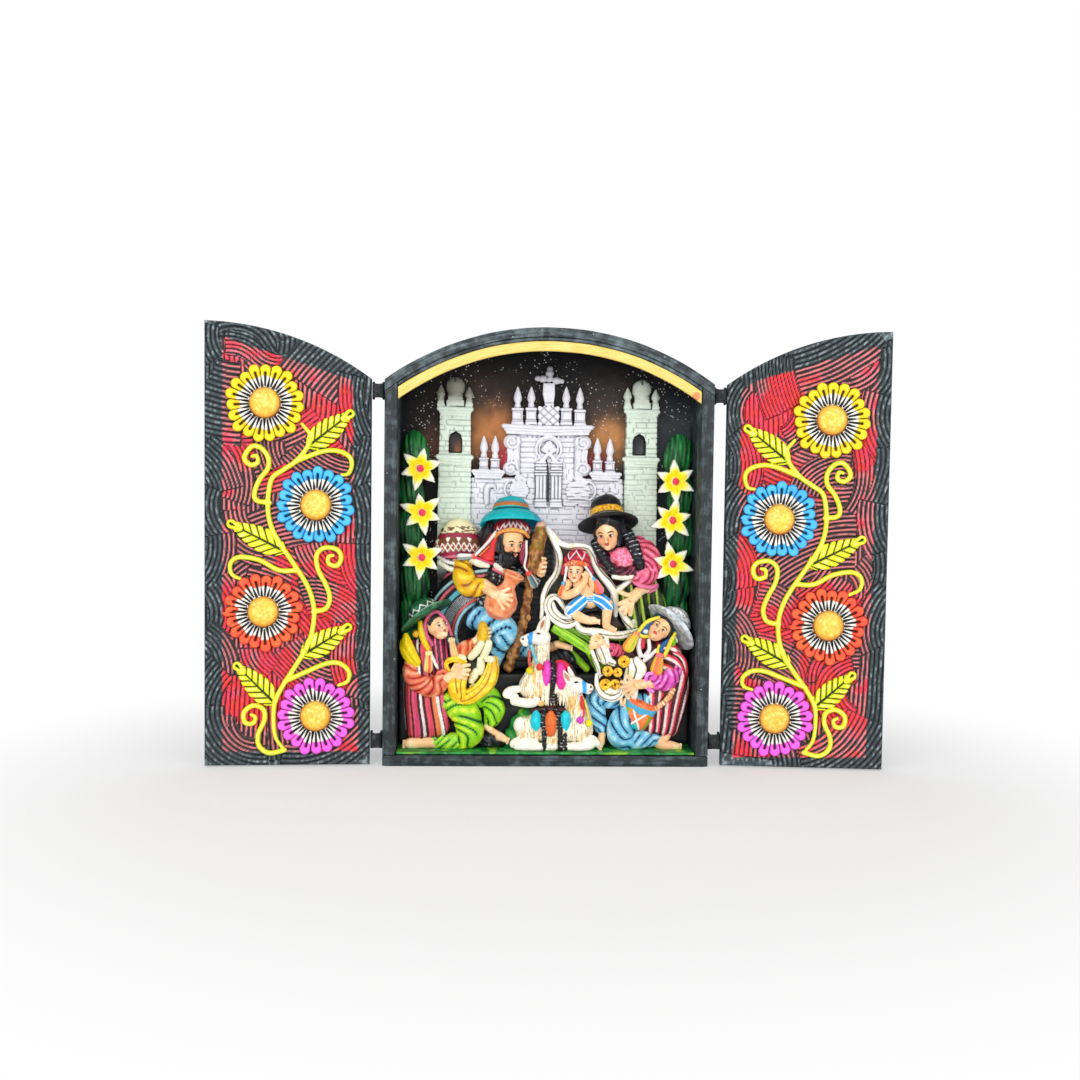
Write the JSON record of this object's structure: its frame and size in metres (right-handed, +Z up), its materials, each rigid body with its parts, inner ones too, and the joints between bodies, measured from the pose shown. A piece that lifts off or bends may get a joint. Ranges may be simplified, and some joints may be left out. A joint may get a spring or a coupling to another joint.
{
  "type": "nativity diorama",
  "caption": "Free-standing arched wooden box with hinged doors and a modelled nativity scene inside; the doors swing shut over the scene.",
  "frame": {"origin": "middle of the base board's underside, half way between the front rim and the back face", "axes": "+X to the viewer's right, +Y to the back, +Z up"},
  "size_m": [0.3414, 0.0487, 0.221],
  "materials": {
    "black_wood": "brushed black paint, satin",
    "night_sky": "black paint with specks and brown glows",
    "gold_paint": "gold paint, satin",
    "green_ground": "painted paste",
    "red_relief": "comb-textured painted paste on a thin board",
    "lime_paint": "painted paste",
    "leather": "black leather",
    "white_stucco": "painted paste, matte",
    "mint_stucco": "painted paste, matte",
    "poncho_paint": "painted paste, striped",
    "skin_paint": "painted paste",
    "teal_paint": "painted paste",
    "maroon_paint": "painted paste",
    "terracotta_paint": "painted paste",
    "brown_paint": "painted paste",
    "pink_paint": "painted paste",
    "black_paint": "painted paste",
    "cream_paint": "painted paste",
    "red_paint": "painted paste, striped",
    "green_paint": "painted paste",
    "ochre_paint": "painted paste",
    "grey_paint": "painted paste",
    "orange_paint": "painted paste",
    "yellow_paint": "painted paste",
    "blue_paint": "painted paste",
    "magenta_paint": "painted paste",
    "dark_green_paint": "painted paste",
    "lily_paint": "painted paste"
  },
  "bodies": {
    "case": {"base_board": "black_wood", "left_side_board": "black_wood", "right_side_board": "black_wood", "back_board": "night_sky", "arch_board": "black_wood", "arch_liner": "black_wood", "gold_arch_trim": "gold_paint", "ground_strip": "green_ground", "rear_step": "black_wood", "left_top_strap": "leather", "left_bottom_strap": "leather", "right_top_strap": "leather", "right_bottom_strap": "leather", "church_facade": "white_stucco", "left_bell_tower": "mint_stucco", "right_bell_tower": "mint_stucco", "joseph_body": "poncho_paint", "joseph_head": "skin_paint", "joseph_hat": "teal_paint", "joseph_bundle": "maroon_paint", "water_jug": "terracotta_paint", "walking_staff": "brown_paint", "mary_body": "pink_paint", "mary_head": "skin_paint", "mary_hat": "black_paint", "manger": "lime_paint", "manger_cloth": "cream_paint", "baby": "skin_paint", "left_shepherd_body": "red_paint", "left_shepherd_head": "skin_paint", "left_shepherd_hat": "green_paint", "potato_cloth": "ochre_paint", "right_shepherd_body": "red_paint", "right_shepherd_head": "skin_paint", "right_shepherd_hat": "grey_paint", "drum": "orange_paint", "bread_cloth": "cream_paint", "front_llama": "cream_paint", "back_llama": "cream_paint", "left_lily_leaves": "dark_green_paint", "left_lily_top": "lily_paint", "left_lily_middle": "lily_paint", "left_lily_bottom": "lily_paint", "right_lily_leaves": "dark_green_paint", "right_lily_top": "lily_paint", "right_lily_middle": "lily_paint", "right_lily_bottom": "lily_paint"},
    "left_door": {"left_door_panel": "red_relief", "left_vine": "lime_paint", "left_daisy_yellow": "yellow_paint", "left_daisy_blue": "blue_paint", "left_daisy_red": "orange_paint", "left_daisy_magenta": "magenta_paint"},
    "right_door": {"right_door_panel": "red_relief", "right_vine": "lime_paint", "right_daisy_yellow": "yellow_paint", "right_daisy_blue": "blue_paint", "right_daisy_red": "orange_paint", "right_daisy_magenta": "magenta_paint"}
  },
  "joints": [
    {"name": "left_hinge", "type": "hinge", "parent": "case", "child": "left_door", "pos_m": [-0.0857, -0.02, 0.1], "axis": [0, 0, 1], "range_deg": [-33, 177], "deforming": ["left_top_strap", "left_bottom_strap"]},
    {"name": "right_hinge", "type": "hinge", "parent": "case", "child": "right_door", "pos_m": [0.0857, -0.02, 0.1], "axis": [0, 0, 1], "range_deg": [-174, 36], "deforming": ["right_top_strap", "right_bottom_strap"]}
  ]
}
